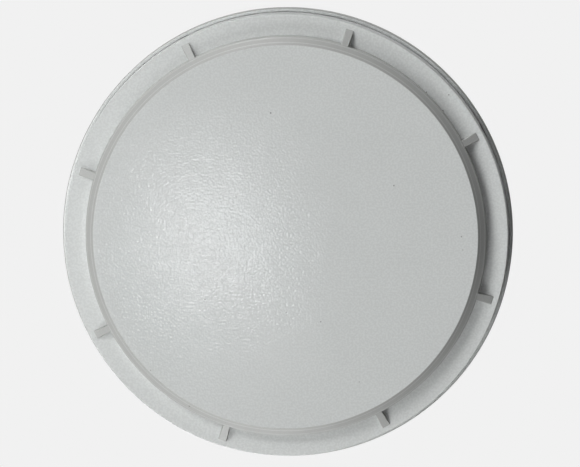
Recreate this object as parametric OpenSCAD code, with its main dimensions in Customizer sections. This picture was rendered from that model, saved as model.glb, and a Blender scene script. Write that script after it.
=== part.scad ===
// Concealed pendent fire sprinkler, all lengths in millimetres.
// The inlet thread points up (+Z), the cover plate faces down (-Z).
// The origin is on the axis, at the lower end of the inlet thread.

/* [Inlet body] */
// Crest diameter of the inlet pipe thread
thread_d = 20.95; // [19:0.05:26]
// Thread pitch
thread_pitch = 1.814; // [1.4:0.001:2.3]
// Depth of a thread groove
thread_depth = 1.1; // [0.6:0.05:1.3]
// Width of the flat thread crest
thread_crest = 0.45; // [0.2:0.05:0.8]
// Number of thread grooves
thread_turns = 7; // [4:1:9]
// Plain length below the first groove
thread_runout = 0.9; // [0.5:0.1:3]
// Lead-in chamfer at the top of the thread
thread_lead = 1.2; // [0.6:0.1:1.6]
// Diameter of the waterway
waterway_d = 11.2; // [8:0.1:13]
// Flare of the waterway at its top
waterway_flare = 1.2; // [0.4:0.1:1.6]
// Wrench hexagon across flats
hex_af = 27; // [25:0.5:34]
// Height of the wrench hexagon
hex_h = 7; // [5:0.5:12]
// Chamfer on the hexagon's corners
hex_chamfer = 0.8; // [0.3:0.1:1.5]
// Diameter of the spigot below the hexagon
spigot_d = 20; // [18:0.5:22]

/* [Support cup] */
// Outside diameter of the support cup
cup_d = 57.2; // [53:0.1:58]
// Sheet thickness of the support cup
cup_t = 0.8; // [0.5:0.1:1.2]
// Depth of the support cup
cup_depth = 33; // [31:0.5:40]
// Bend radius between the cup's top and its wall
cup_bend = 3; // [1.5:0.5:5]
// Height of a rolled thread ridge inside the cup
ridge_h = 0.35; // [0.2:0.05:0.5]
// Pitch of the rolled thread ridges
ridge_pitch = 2.5; // [2:0.1:3]
// Number of rolled thread ridges
ridge_count = 5; // [3:1:6]
// Number of vent windows in the cup wall
vent_count = 6; // [4:1:10]
// Width of a vent window
vent_w = 8; // [5:0.5:12]
// Height of a vent window
vent_h = 4; // [3:0.5:6]
// Distance from the cup's top to a vent window
vent_drop = 6; // [5.5:0.5:8]
// Thickness of the lock washer
washer_t = 1; // [0.6:0.1:1.6]

/* [Yoke] */
// Wall of the ring around the spigot
yoke_ring_t = 4; // [3:0.1:6]
// Height of the ring around the spigot
yoke_ring_h = 7.2; // [5:0.1:10]
// Width of a yoke arm
arm_w = 4.4; // [3:0.1:6]
// Thickness of a yoke arm
arm_t = 2.8; // [2:0.1:3.6]
// Straight length of a yoke arm before it turns in
arm_straight = 11; // [6:0.5:14]
// Wall of the hub around the load screw
hub_wall = 3; // [2:0.1:4]
// Height of the hub
hub_h = 6.5; // [5:0.1:9]
// Height of the bar that guides the pins
bar_h = 5.2; // [3.5:0.1:6]
// Width of the bar that guides the pins
bar_w = 6; // [4:0.1:8]
// Wall of the boss around a bush
boss_wall = 1.8; // [1.2:0.1:2.5]
// Outside diameter of a guide bush
bush_d = 4.4; // [3.6:0.1:5.5]
// Width of the flange on a guide bush
bush_flange_w = 1; // [0.6:0.1:1.5]
// Thickness of the flange on a guide bush
bush_flange_t = 0.6; // [0.4:0.1:1]

/* [Release] */
// Width of the seal beyond the waterway
seal_lip = 1.8; // [1.2:0.1:2.2]
// Thickness of the seal film
film_t = 0.15; // [0.1:0.05:0.3]
// Sheet thickness of the conical seal spring
seal_spring_t = 0.4; // [0.3:0.05:0.6]
// Cone height of the seal spring
seal_spring_cone = 0.35; // [0.2:0.05:0.6]
// Hole diameter of the seal spring
seal_spring_hole = 5.8; // [5:0.1:7]
// Thickness of the cap's plate
cap_plate_t = 1.2; // [0.8:0.1:2]
// Length of the cap's boss below its plate
cap_boss_h = 2.3; // [1.8:0.1:4]
// Wall of the cap's boss around the bulb
cap_boss_wall = 1.5; // [1:0.1:2]
// Depth of the bulb's seats in cap and screw
seat_depth = 1.2; // [0.8:0.1:1.5]
// Outside diameter of the glass bulb
bulb_d = 5; // [4:0.1:5.6]
// Length of the glass bulb between its domes
bulb_len = 18; // [16:0.5:22]
// Wall of the glass bulb
bulb_wall = 0.5; // [0.4:0.05:0.8]
// Diameter of the bulb's sealed tail
tail_d = 1.8; // [1.2:0.1:2.2]
// Length of the bulb's sealed tail
tail_len = 1.6; // [1:0.1:2.5]
// Height of the air bubble in the bulb
bubble_h = 1.6; // [0.8:0.1:2.2]
// Diameter of the load screw
screw_d = 6; // [5.4:0.1:8]
// Length of the load screw
screw_len = 8.2; // [7:0.1:9]
// Hexagon socket in the load screw, across flats
screw_key = 2.5; // [2:0.1:3]
// Depth of the hexagon socket
screw_key_depth = 2.4; // [1.5:0.1:3]

/* [Deflector] */
// Distance between the two guide pins
pin_spacing = 29; // [25:0.5:33]
// Diameter of a guide pin
pin_d = 2.5; // [2:0.1:3]
// How far the deflector drops
drop_travel = 15; // [10:0.5:16]
// Distance from the hub to the raised deflector
deflector_gap = 4; // [3.5:0.1:6]
// Thickness of the deflector
deflector_t = 1; // [0.6:0.1:1.5]
// Deflector edge beyond the guide pins
deflector_margin = 4; // [3:0.1:5]
// Number of slots in the deflector's edge
slot_count = 12; // [8:4:16]
// Width of a slot in the deflector
slot_w = 1.9; // [1:0.1:2.2]
// Depth of a slot in the deflector
slot_depth = 6.5; // [4:0.1:7]
// Diameter of the pin's riveted tail
rivet_tail_d = 1.9; // [1.5:0.1:1.95]
// Width of the riveted head beyond the tail
rivet_head_w = 0.7; // [0.4:0.1:1]
// Height of the riveted head
rivet_head_h = 0.5; // [0.3:0.1:0.8]
// Outside diameter of a stop clip
clip_d = 5.2; // [4.6:0.1:6]
// Thickness of a stop clip
clip_t = 0.6; // [0.4:0.1:1]
// Depth of the clip's groove in the pin
clip_groove = 0.3; // [0.2:0.05:0.4]
// Pin length above the stop clip
pin_end = 1; // [0.5:0.1:2]

/* [Retainer] */
// Distance from the cup's lower edge to the ceiling face
recess = 10.8; // [10:0.1:16]
// How far the collar reaches up into the cup
collar_lap = 9; // [8:0.5:12]
// Sheet thickness of the collar
collar_t = 0.6; // [0.4:0.05:0.8]
// Number of spring fingers on the collar
finger_count = 8; // [6:1:12]
// Width of the slits between fingers
finger_slit = 1.2; // [0.8:0.1:2]
// Length of the slits between fingers
finger_len = 12; // [8:0.5:14]
// Height of the dimple on a finger
dimple_h = 0.4; // [0.2:0.05:0.6]
// Diameter of the dimple on a finger
dimple_d = 2.8; // [2:0.1:4]
// Distance from a finger's tip to its dimple
dimple_drop = 2.6; // [2.1:0.1:4]
// Sheet thickness of the trim ring
trim_t = 0.8; // [0.6:0.05:1]
// Width of the trim ring's lowered web
web_w = 6.2; // [5:0.1:7]
// How far the web lies below the ceiling face
web_drop = 1; // [0.9:0.05:1.4]
// How far the trim ring stands out past the cover
trim_lip = 0.8; // [0.3:0.05:3]
// Depth of the trim ring's rim
trim_rim_h = 3; // [2:0.1:4]
// Thickness of the trim ring's rim
trim_rim_t = 0.6; // [0.4:0.05:0.8]
// Distance from the disc's edge to the solder tabs
tab_inset = 3.4; // [3:0.1:4]
// Width of a solder tab
tab_w = 8; // [4:0.5:12]
// Length of a solder tab's foot
tab_foot = 3.4; // [2:0.1:4]
// Edge of the collar's flange beyond its solder tabs
flange_edge = 0.4; // [0.2:0.05:0.6]
// Thickness of a solder pad
solder_t = 0.3; // [0.15:0.05:0.5]
// Edge of the tab's foot beyond the solder pad
solder_margin = 0.5; // [0.2:0.1:0.8]
// Radial width of an ejection spring
spring_w = 3.4; // [2.6:0.1:3.6]
// Sheet thickness of an ejection spring
spring_t = 0.4; // [0.2:0.05:0.5]
// Flat length of an ejection spring
spring_flat = 6; // [5:0.5:8]
// Sloped length of an ejection spring
spring_reach = 8.5; // [6:0.5:9]
// Length of the turned-up spring tip
spring_tip = 1.6; // [0.8:0.1:2]
// Diameter of a rivet
rivet_d = 1.8; // [1.2:0.1:2.2]
// Diameter of a rivet head
rivet_head_d = 3; // [2.6:0.1:3.2]
// Height of a rivet head
rivet_head = 0.6; // [0.4:0.05:0.8]

/* [Cover plate] */
// Diameter of the raised front disc
disc_d = 71.4; // [69:0.1:84]
// Height of the disc above the flange
disc_proud = 3; // [2:0.1:4]
// Width of the sloped band around the disc
band_w = 1.45; // [0.8:0.05:2.5]
// Drop of the sloped band
band_drop = 1.3; // [0.5:0.1:1.6]
// Width of the flange around the band
flange_w = 4.05; // [3.4:0.05:8]
// Depth of the rim behind the flange
cover_rim_h = 5; // [2.5:0.1:6]
// Sheet thickness of the cover plate
cover_t = 0.9; // [0.6:0.05:1.1]
// Rounding of the flange's outer edge
cover_edge = 0.2; // [0.1:0.05:0.6]
// How much wider the cover's rim is at its back edge
rim_draft = 0.2; // [0:0.05:0.5]
// Open seam between cover rim and trim ring
seam = 0.5; // [0.3:0.1:2]
// Number of gusset ribs
rib_count = 8; // [4:4:12]
// Angle of the first gusset rib
rib_angle = -27.8; // [-90:0.1:90]
// Width of a gusset rib
rib_w = 1.35; // [0.8:0.05:2.5]
// Length of a gusset rib across the flange
rib_len = 2.9; // [1.5:0.05:3.2]
// Height of a gusset rib at its outer end
rib_end_h = 0.15; // [0.05:0.05:0.4]
// Number of vent notches in the cover rim
notch_count = 4; // [2:1:8]
// Width of a vent notch
notch_w = 2.2; // [1:0.1:4]
// Height of a vent notch
notch_h = 1.3; // [0.4:0.1:1.4]

/* [Fits] */
// Radial clearance of seated and screwed pieces
fit = 0.05; // [0.02:0.01:0.1]
// Radial running clearance of the guide pins
run_fit = 0.05; // [0.02:0.01:0.1]
// Radial clearance between dimples and rolled thread
collar_clear = 0.25; // [0.2:0.05:0.4]
// Clearance left at the end of the drop
stop_clear = 0.2; // [0.1:0.05:0.5]
// Clearance between solder tabs and solder pads
solder_gap = 0.05; // [0.03:0.01:0.1]
// Clearance between spring tips and cover
spring_clear = 0.2; // [0.1:0.05:0.4]

/* [Hidden] */
$fn = 96;
// Small overlap that makes cuts and unions clean
eps = 0.01;
bend_steps = 6;

// Radii of the inlet body
thread_r = thread_d / 2;
waterway_r = waterway_d / 2;
spigot_r = spigot_d / 2;
seat_r = spigot_r + fit;
thread_top = thread_runout + thread_turns * thread_pitch + thread_lead;
groove_w = thread_pitch - thread_crest;

// Heights of the stack under the hexagon
cup_top = -hex_h;
washer_top = cup_top - cup_t;
yoke_top = washer_top - washer_t;
seat_z = yoke_top - yoke_ring_h;
cup_bottom = cup_top - cup_depth;
cup_ri = cup_d / 2 - cup_t;
ring_r = seat_r + yoke_ring_t;

// Release stack from the seat down to the load screw
seal_r = waterway_r + seal_lip;
film_bottom = seat_z - film_t;
cap_top = film_bottom - seal_spring_cone - seal_spring_t;
cap_bottom = cap_top - cap_plate_t - cap_boss_h;
bulb_r = bulb_d / 2;
bulb_top = cap_bottom + seat_depth;
bulb_bottom = bulb_top - bulb_len;
screw_r = screw_d / 2;
screw_top = bulb_bottom + seat_depth;
screw_bottom = screw_top - screw_len;
hub_r = screw_r + fit + hub_wall;
hub_top = screw_top - 0.5;
hub_bottom = hub_top - hub_h;

// Guide bar and deflector
pin_x = pin_spacing / 2;
pin_r = pin_d / 2;
bush_r = bush_d / 2;
bar_top = hub_bottom + bar_h;
bush_top = bar_top + bush_flange_t;
boss_r = bush_r + boss_wall;
deflector_r = pin_x + deflector_margin;
deflector_top = hub_bottom - deflector_gap;
deflector_bottom = deflector_top - deflector_t;
clip_bottom = bush_top + drop_travel + stop_clear;
pin_top = clip_bottom + clip_t + pin_end;
groove_r = pin_r - clip_groove;

// Collar and trim ring
skirt_ro = cup_ri - ridge_h - collar_clear - dimple_h;
skirt_ri = skirt_ro - collar_t;
ceiling_z = cup_bottom - recess;
collar_top = cup_bottom + collar_lap;
web_ri = skirt_ro + 0.3;
step_r = web_ri + web_w;
web_top = ceiling_z - web_drop;
web_bottom = web_top - trim_t;
trim_rim_bottom = ceiling_z - trim_rim_h;
collar_flange_bottom = web_bottom - collar_t;

// Cover plate
disc_r = disc_d / 2;
band_r = disc_r + band_w;
cover_r = band_r + flange_w;
rim_back_r = cover_r + rim_draft;
trim_r = cover_r + trim_lip;
cover_rim_top = trim_rim_bottom - seam;
flange_front = cover_rim_top - cover_rim_h;
disc_front = flange_front - disc_proud;
disc_back = disc_front + cover_t;
band_foot = disc_front + band_drop;

// Solder tabs, ejection springs and rivets
tab_count = 3;
tab_ro = disc_r - tab_inset;
tab_angle = tab_w / tab_ro * 180 / PI;
foot_bottom = disc_back + solder_t + solder_gap;
rivet_ring_r = web_ri + rivet_head_d / 2 + 0.3;
spring_start = 60;

// Points on an arc, from angle a0 to angle a1
function arc(cx, cy, r, a0, a1) =
    [for (i = [0:bend_steps]) let (a = a0 + (a1 - a0) * i / bend_steps) [cx + r * cos(a), cy + r * sin(a)]];

// Ring with a rectangular section
module ring(r_in, r_out, z_low, z_high) {
    translate([0, 0, z_low])
        difference() {
            cylinder(r = r_out, h = z_high - z_low);
            translate([0, 0, -1]) cylinder(r = r_in, h = z_high - z_low + 2);
        }
}

// Children at both guide pins
module at_pins() {
    for (side = [-1, 1]) translate([side * pin_x, 0, 0]) children();
}

// Children turned evenly about the axis
module around(count, start = 0) {
    for (i = [0:count - 1]) rotate([0, 0, start + i * 360 / count]) children();
}

// Section swept through an angle, centred on +X
module sector(angle) {
    rotate([0, 0, -angle / 2]) rotate_extrude(angle = angle) children();
}

module inlet_body() {
    // Crests alternate with grooves up the thread
    thread_points = [
        for (i = [0:thread_turns - 1]) let (z = thread_runout + i * thread_pitch) each [
            [thread_r, z],
            [thread_r - thread_depth, z + groove_w * 0.4],
            [thread_r - thread_depth, z + groove_w * 0.6],
            [thread_r, z + groove_w]
        ]
    ];
    hex_r = hex_af / sqrt(3);
    color("#c49a45")
    difference() {
        union() {
            rotate_extrude() polygon(concat(
                [[0, -eps], [thread_r, -eps]],
                thread_points,
                [
                    [thread_r, thread_top - thread_lead],
                    [thread_r - thread_lead, thread_top],
                    [0, thread_top]
                ]
            ));
            intersection() {
                translate([0, 0, -hex_h]) cylinder(r = hex_r, h = hex_h, $fn = 6);
                rotate_extrude() polygon([
                    [0, -hex_h], [hex_r - hex_chamfer, -hex_h], [hex_r, -hex_h + hex_chamfer],
                    [hex_r, -hex_chamfer], [hex_r - hex_chamfer, 0], [0, 0]
                ]);
            }
            translate([0, 0, seat_z]) cylinder(r = spigot_r, h = -hex_h - seat_z + eps);
        }
        translate([0, 0, seat_z - 1]) cylinder(r = waterway_r, h = thread_top - seat_z + 2);
        translate([0, 0, thread_top - waterway_flare])
            cylinder(r1 = waterway_r, r2 = waterway_r + waterway_flare + 1, h = waterway_flare + 1);
    }
}

module support_cup() {
    wall_r = cup_d / 2;
    bend_z = cup_top - cup_bend;
    // Rolled thread, as steps of the sheet towards the axis
    ridges = [
        for (i = [ridge_count - 1:-1:0]) let (z = cup_bottom + (i + 0.5) * ridge_pitch) each [
            [0, z + ridge_pitch * 0.4], [-ridge_h, z + ridge_pitch * 0.15],
            [-ridge_h, z - ridge_pitch * 0.15], [0, z - ridge_pitch * 0.4]
        ]
    ];
    outer = concat(
        [[seat_r, cup_top]],
        arc(wall_r - cup_bend, bend_z, cup_bend, 90, 0),
        [for (p = ridges) [wall_r + p[0], p[1]]],
        [[wall_r, cup_bottom]]
    );
    inner = concat(
        [[cup_ri, cup_bottom]],
        [for (i = [len(ridges) - 1:-1:0]) [cup_ri + ridges[i][0], ridges[i][1]]],
        arc(wall_r - cup_bend, bend_z, cup_bend - cup_t, 0, 90),
        [[seat_r, cup_top - cup_t]]
    );
    color("#b9bcc0")
    difference() {
        rotate_extrude() polygon(concat(outer, inner));
        around(vent_count)
            translate([cup_ri - 1, -vent_w / 2, cup_top - vent_drop - vent_h]) cube([cup_t + 2, vent_w, vent_h]);
    }
}

module lock_washer() {
    color("#8f9296") ring(seat_r, ring_r, yoke_top, washer_top);
}

module yoke() {
    knee = seat_z - arm_straight;
    foot = hub_r - 1;
    color("#b3863f")
    difference() {
        union() {
            ring(seat_r, ring_r, seat_z, yoke_top);
            translate([0, 0, hub_bottom]) cylinder(r = hub_r, h = hub_h);
            for (side = [0, 180])
                rotate([0, 0, side]) rotate([90, 0, 90])
                    translate([0, 0, -arm_w / 2]) linear_extrude(arm_w) polygon([
                        [ring_r - arm_t, seat_z + 1], [ring_r - 0.3, seat_z + 1], [ring_r - 0.3, knee],
                        [foot, hub_bottom], [0, hub_bottom], [0, hub_top], [foot, hub_top],
                        [ring_r - arm_t, knee + 1]
                    ]);
            translate([-pin_x, -bar_w / 2, hub_bottom]) cube([pin_spacing, bar_w, bar_h]);
            at_pins() translate([0, 0, hub_bottom]) cylinder(r = boss_r, h = bar_h);
        }
        translate([0, 0, hub_bottom - 1]) cylinder(r = screw_r + fit, h = hub_h + 2);
        at_pins() translate([0, 0, hub_bottom - 1]) cylinder(r = bush_r + fit, h = bar_h + 2);
    }
}

module guide_bushes() {
    color("#d0b070")
    at_pins()
        difference() {
            union() {
                translate([0, 0, hub_bottom]) cylinder(r = bush_r, h = bush_top - hub_bottom);
                translate([0, 0, bar_top]) cylinder(r = bush_r + bush_flange_w, h = bush_flange_t);
            }
            translate([0, 0, hub_bottom - 1]) cylinder(r = pin_r + run_fit, h = bush_top - hub_bottom + 2);
        }
}

module load_screw() {
    tail_room = tail_len + 0.4;
    color("#c9a24a")
    difference() {
        translate([0, 0, screw_bottom]) cylinder(r = screw_r, h = screw_len);
        translate([0, 0, bulb_bottom + bulb_r]) sphere(r = bulb_r + fit);
        translate([0, 0, bulb_bottom - tail_room]) cylinder(r = tail_d / 2 + 2 * fit, h = tail_room + 1);
        translate([0, 0, screw_bottom - 1])
            cylinder(r = screw_key / sqrt(3), h = screw_key_depth + 1, $fn = 6);
    }
}

// Capsule between two dome ends
module capsule(r, z_low, z_high) {
    translate([0, 0, z_low + r]) cylinder(r = r, h = z_high - z_low - 2 * r);
    translate([0, 0, z_low + r]) sphere(r = r);
    translate([0, 0, z_high - r]) sphere(r = r);
}

module glass_bulb() {
    color("#f3c9c4", 0.5)
    difference() {
        union() {
            capsule(bulb_r, bulb_bottom, bulb_top);
            translate([0, 0, bulb_bottom - tail_len]) cylinder(r = tail_d / 2, h = tail_len + 1);
        }
        capsule(bulb_r - bulb_wall, bulb_bottom + bulb_wall, bulb_top - bulb_wall);
    }
}

module bulb_liquid() {
    r = bulb_r - bulb_wall - fit;
    level = bulb_top - bulb_wall - bubble_h;
    color("#c4161c")
    intersection() {
        capsule(r, bulb_bottom + bulb_wall + fit, bulb_top - bulb_wall - fit);
        translate([0, 0, bulb_bottom]) cylinder(r = bulb_r, h = level - bulb_bottom);
    }
}

module pip_cap() {
    plate_r = seal_r - 0.4;
    plug_r = seal_spring_hole / 2 - 2 * fit;
    plug_h = seal_spring_cone + seal_spring_t;
    color("#b5873c")
    difference() {
        union() {
            translate([0, 0, cap_top - cap_plate_t]) cylinder(r = plate_r, h = cap_plate_t);
            translate([0, 0, cap_bottom]) cylinder(r = bulb_r + cap_boss_wall, h = cap_boss_h + eps);
            translate([0, 0, cap_top - eps]) cylinder(r = plug_r, h = plug_h - fit);
        }
        translate([0, 0, bulb_top - bulb_r]) sphere(r = bulb_r + fit);
    }
}

module seal_spring() {
    hole_r = seal_spring_hole / 2;
    color("#c8c6bf")
    rotate_extrude() polygon([
        [hole_r, cap_top], [seal_r - 0.6, cap_top + seal_spring_cone], [seal_r, cap_top + seal_spring_cone],
        [seal_r, film_bottom], [seal_r - 0.6, film_bottom], [hole_r, cap_top + seal_spring_t]
    ]);
}

module seal_film() {
    color("#f2f2ee") translate([0, 0, film_bottom]) cylinder(r = seal_r, h = film_t);
}

module deflector() {
    color("#b8743c")
    difference() {
        translate([0, 0, deflector_bottom]) cylinder(r = deflector_r, h = deflector_t);
        at_pins() translate([0, 0, deflector_bottom - 1]) cylinder(r = rivet_tail_d / 2 + fit, h = deflector_t + 2);
        around(slot_count, 180 / slot_count)
            translate([deflector_r - slot_depth, 0, deflector_bottom - 1]) {
                cylinder(d = slot_w, h = deflector_t + 2);
                translate([0, -slot_w / 2, 0]) cube([slot_depth + 1, slot_w, deflector_t + 2]);
            }
    }
}

module guide_pins() {
    tail_r = rivet_tail_d / 2;
    head_z = deflector_bottom - rivet_head_h;
    color("#c3c6c9")
    at_pins()
        difference() {
            union() {
                translate([0, 0, deflector_top]) cylinder(r = pin_r, h = pin_top - deflector_top);
                translate([0, 0, head_z]) cylinder(r = tail_r, h = deflector_top - head_z + eps);
                translate([0, 0, head_z]) cylinder(r = tail_r + rivet_head_w, h = rivet_head_h);
            }
            ring(groove_r, pin_r + 1, clip_bottom, clip_bottom + clip_t);
        }
}

module stop_clips() {
    color("#9fa3a8")
    at_pins()
        difference() {
            ring(groove_r + fit, clip_d / 2, clip_bottom, clip_bottom + clip_t);
            translate([0, -groove_r, clip_bottom - 1]) cube([clip_d, 2 * groove_r, clip_t + 2]);
        }
}

module retainer_collar() {
    tab_ri = tab_ro - collar_t;
    tab_top = collar_flange_bottom + collar_t / 2;
    color("#b4b7ba")
    difference() {
        union() {
            ring(skirt_ri, skirt_ro, collar_flange_bottom, collar_top);
            ring(skirt_ri, tab_ro + flange_edge, collar_flange_bottom, web_bottom);
            around(tab_count)
                sector(tab_angle) polygon([
                    [tab_ri, tab_top], [tab_ri, foot_bottom + collar_t],
                    [tab_ri - tab_foot, foot_bottom + collar_t], [tab_ri - tab_foot, foot_bottom],
                    [tab_ro, foot_bottom], [tab_ro, tab_top]
                ]);
            // Dimples stand out of the fingers
            around(finger_count, 180 / finger_count)
                translate([skirt_ro - collar_t / 2, 0, collar_top - dimple_drop]) rotate([0, 90, 0])
                    cylinder(d1 = dimple_d, d2 = dimple_d - 2 * dimple_h, h = collar_t / 2 + dimple_h);
        }
        around(finger_count)
            translate([skirt_ri - 2, -finger_slit / 2, collar_top - finger_len])
                cube([collar_t + 4, finger_slit, finger_len + 1]);
        around(2 * tab_count)
            translate([rivet_ring_r, 0, collar_flange_bottom - 1]) cylinder(r = rivet_d / 2 + fit, h = collar_t + 2);
    }
}

module trim_ring() {
    color("#d9dad8")
    difference() {
        rotate_extrude() polygon([
            [web_ri, web_bottom], [step_r, web_bottom], [step_r, ceiling_z - trim_t],
            [trim_r - trim_rim_t, ceiling_z - trim_t], [trim_r - trim_rim_t, trim_rim_bottom],
            [trim_r, trim_rim_bottom], [trim_r, ceiling_z], [step_r - trim_t, ceiling_z],
            [step_r - trim_t, web_top], [web_ri, web_top]
        ]);
        around(2 * tab_count)
            translate([rivet_ring_r, 0, web_bottom - 1]) cylinder(r = rivet_d / 2 + fit, h = trim_t + 2);
    }
}

module ejection_springs() {
    half = spring_flat / 2;
    low = disc_back + spring_clear;
    lift = spring_tip * 0.5;
    top = collar_flange_bottom;
    color("#aeb2b6")
    around(tab_count, spring_start)
        difference() {
            translate([rivet_ring_r + spring_w / 2, 0, 0]) rotate([90, 0, -90])
                linear_extrude(spring_w) polygon([
                    [-half, top], [-half, top - spring_t], [half, top - spring_t], [half + spring_reach, low],
                    [half + spring_reach + spring_tip, low + lift],
                    [half + spring_reach + spring_tip, low + lift + spring_t],
                    [half + spring_reach, low + spring_t], [half, top]
                ]);
            translate([rivet_ring_r, 0, top - 2 * spring_t]) cylinder(r = rivet_d / 2 + fit, h = 3 * spring_t);
        }
}

// Rivet with a head above the web and one below its last sheet
module collar_rivet(low) {
    translate([rivet_ring_r, 0, 0]) {
        translate([0, 0, low]) cylinder(r = rivet_d / 2, h = web_top - low);
        translate([0, 0, web_top]) cylinder(r = rivet_head_d / 2, h = rivet_head);
        translate([0, 0, low - rivet_head]) cylinder(r = rivet_head_d / 2, h = rivet_head);
    }
}

module collar_rivets() {
    color("#c9c9c4") {
        around(tab_count) collar_rivet(collar_flange_bottom);
        around(tab_count, spring_start) collar_rivet(collar_flange_bottom - spring_t);
    }
}

module cover_plate() {
    wall_ri = band_r - cover_t;
    color("#dcdddb")
    difference() {
        union() {
            rotate_extrude() polygon(concat(
                [[0, disc_back], [0, disc_front], [disc_r, disc_front], [band_r, band_foot], [band_r, flange_front]],
                arc(cover_r - cover_edge, flange_front + cover_edge, cover_edge, -90, 0),
                [
                    [rim_back_r, cover_rim_top], [rim_back_r - cover_t, cover_rim_top],
                    [cover_r - cover_t, flange_front + cover_t], [wall_ri, flange_front + cover_t],
                    [wall_ri, band_foot + cover_t / 2], [disc_r - cover_t / 2, disc_back]
                ]
            ));
            around(rib_count, rib_angle)
                rotate([90, 0, 0]) translate([0, 0, -rib_w / 2]) linear_extrude(rib_w) polygon([
                    [band_r - cover_t / 2, flange_front + cover_t / 2], [band_r - cover_t / 2, band_foot],
                    [band_r, band_foot], [band_r + rib_len, flange_front - rib_end_h],
                    [band_r + rib_len, flange_front + cover_t / 2]
                ]);
        }
        around(notch_count, rib_angle)
            translate([cover_r - 2 * cover_t, -notch_w / 2, cover_rim_top - notch_h])
                cube([3 * cover_t, notch_w, notch_h + 1]);
    }
}

module solder_pads() {
    foot_ri = tab_ro - collar_t - tab_foot;
    pad_angle = tab_angle - 2 * solder_margin / tab_ro * 180 / PI;
    color("#a9abad")
    around(tab_count)
        sector(pad_angle) polygon([
            [foot_ri + solder_margin, disc_back], [tab_ro - solder_margin, disc_back],
            [tab_ro - solder_margin, disc_back + solder_t], [foot_ri + solder_margin, disc_back + solder_t]
        ]);
}

inlet_body();
support_cup();
lock_washer();
yoke();
guide_bushes();
load_screw();
glass_bulb();
bulb_liquid();
pip_cap();
seal_spring();
seal_film();
deflector();
guide_pins();
stop_clips();
retainer_collar();
trim_ring();
ejection_springs();
collar_rivets();
cover_plate();
solder_pads();
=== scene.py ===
"""Looks of a concealed pendent sprinkler head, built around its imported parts."""
import math

import bpy
import numpy as np
from mathutils import Matrix, Vector


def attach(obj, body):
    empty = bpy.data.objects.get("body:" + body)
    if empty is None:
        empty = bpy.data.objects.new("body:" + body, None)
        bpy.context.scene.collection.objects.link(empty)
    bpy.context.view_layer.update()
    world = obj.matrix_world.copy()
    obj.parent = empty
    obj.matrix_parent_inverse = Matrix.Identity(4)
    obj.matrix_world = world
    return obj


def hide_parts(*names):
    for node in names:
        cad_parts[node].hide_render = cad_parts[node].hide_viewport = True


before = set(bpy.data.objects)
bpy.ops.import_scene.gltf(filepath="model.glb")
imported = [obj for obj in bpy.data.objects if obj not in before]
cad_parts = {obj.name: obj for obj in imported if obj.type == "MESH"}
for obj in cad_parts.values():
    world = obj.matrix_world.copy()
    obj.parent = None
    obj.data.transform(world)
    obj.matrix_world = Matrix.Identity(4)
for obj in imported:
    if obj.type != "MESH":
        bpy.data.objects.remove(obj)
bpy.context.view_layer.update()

# All sizes below are in millimetres and angles in degrees; meshes are written in metres.
MM = 0.001
FULL_TURN = 2 * math.pi
FILLET_STEPS = 5

# Cover plate
DISC_R = 35.7
DISC_PROUD = 3.0
DISC_EDGE_SOFT = 0.04
BAND_W = 1.45
BAND_DROP = 1.3
BAND_EDGE_SOFT = 0.5
WALL_SLOPE = 14.0
WALL_FOOT_SOFT = 0.2
COVER_R = 41.2
COVER_T = 0.9
COVER_EDGE = 0.14
RIM_DRAFT = 0.1
RIM_SOFT = 0.12
FLANGE_FRONT = -59.3
FLANGE_BACK_FILLET = 0.2
BAND_BACK_FILLET = 0.15
COVER_RIM_TOP = -54.3
NOTCH_COUNT = 4
NOTCH_W = 2.2
NOTCH_H = 1.3
NOTCH_FOOT = 0.4

# Gusset ribs on the cover: how far each face stands up, how steep it is and how softly it meets the others
RIB_COUNT = 8
RIB_ANGLE = -27.8
RIB_W = 1.35
RIB_LEN = 2.9
RIB_END_H = 0.15
RIB_END_SLOPE = 5.0
RIB_END_SOFT = 0.15
RIB_START_H = 1.2
RIB_START_SLOPE = 4.0
RIB_START_SOFT = 0.3
RIB_SIDE_H = 0.8
RIB_SIDE_SLOPE = 12.0
RIB_SIDE_SOFT = 0.35
RIB_FOOT_SOFT = 0.3

# Paint masks, which darken faces that stand off level as painted shade: the level above which a face counts as flat,
# the span to a full slope, and the share on the rim
FLAT_LEVEL = 0.99
SLOPE_SPAN = 0.12
RIM_SLOPE_SHARE = 0.4

# Trim ring
TRIM_R = 41.98
TRIM_T = 0.8
TRIM_RIM_T = 0.7
TRIM_WEB_R = 27.1
TRIM_STEP_R = 33.3
TRIM_CEILING = -50.8
TRIM_WEB_TOP = -51.8
TRIM_RIM_BOTTOM = -53.8

# Inlet body
THREAD_R = 10.475
THREAD_PITCH = 1.814
THREAD_DEPTH = 1.1
THREAD_TOP = 14.798
THREAD_LEAD = 1.2
THREAD_LEAD_STEPS = 10
THREAD_RUNOUT = 0.9
THREAD_FADE = (0.2, 1.2)
THREAD_FLANK = (0.08, 0.92)
WATERWAY_R = 5.6
WATERWAY_FLARE = 1.2
HEX_AF = 27.0
HEX_H = 7.0
HEX_CHAMFER = 1.9
HEX_CHAMFER_SLOPE = 1.75
HEX_CHAMFER_STEPS = [0, 0.12, 0.25, 0.4, 0.6, 0.85, 1.15]
SPIGOT_R = 10.0
SPIGOT_EDGE = 0.2
SEAT_Z = -16.0
SEAT_EDGE = 0.3

# Support cup
CUP_R = 28.6
CUP_T = 0.8
CUP_BORE_R = 10.05
CUP_TOP = -7.0
CUP_BOTTOM = -40.0
CUP_BEND = 3.0
CUP_LIP_EDGE = 0.2
CUP_ROOF_RING = 18
CUP_WALL_RINGS = [-24, -20]
CUP_ABOVE_VENTS = -11.5
ROLL_PITCH = 2.5
ROLL_DEPTH = 0.35
ROLL_TURNS = 5
ROLL_FLANK = (0.2, 0.8)
ROLL_START = (0.6, 2.2)
ROLL_END = (-1.0, 0.8)
VENT_COUNT = 6
VENT_W = 8.0
VENT_TOP = -13.0
VENT_BOTTOM = -17.0


# Node trees

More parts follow.
